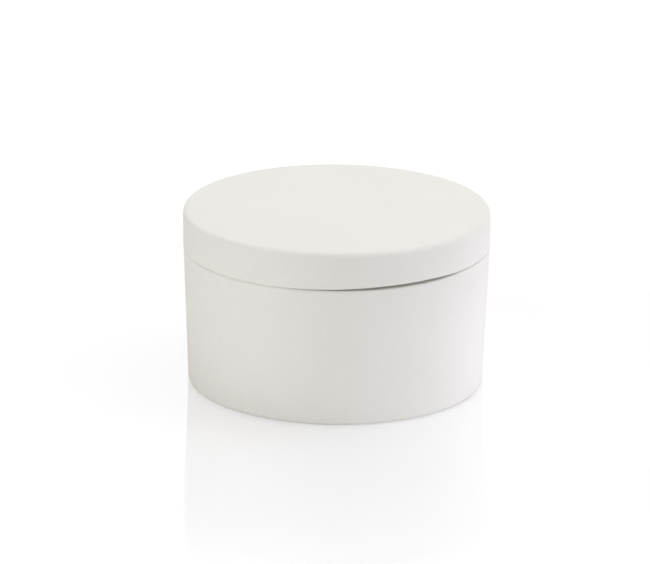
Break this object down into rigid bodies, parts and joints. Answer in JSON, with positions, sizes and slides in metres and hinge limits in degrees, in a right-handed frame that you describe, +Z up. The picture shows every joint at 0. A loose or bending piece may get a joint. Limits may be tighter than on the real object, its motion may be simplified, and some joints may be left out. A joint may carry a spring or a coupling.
{
  "type": "lidded round ceramic box",
  "caption": "Low round bisque ceramic box with slightly tapered sides, and a flat cap lid that lifts off a collar, for trinkets on a shelf or dressing table.",
  "frame": {"origin": "middle of the foot, on the surface that the box stands on", "axes": "+Z up along the axis of the pot and the lid; -Y towards the viewer of the picture, with +X to the viewer's right"},
  "size_m": [0.11, 0.11, 0.064],
  "materials": {
    "bisque": "matte"
  },
  "bodies": {
    "pot": {"pot": "bisque"},
    "lid": {"lid": "bisque"}
  },
  "joints": [
    {"name": "lid_lift", "type": "slide", "parent": "pot", "child": "lid", "axis": [0, 0, 1], "range_m": [0, 0.1]}
  ]
}
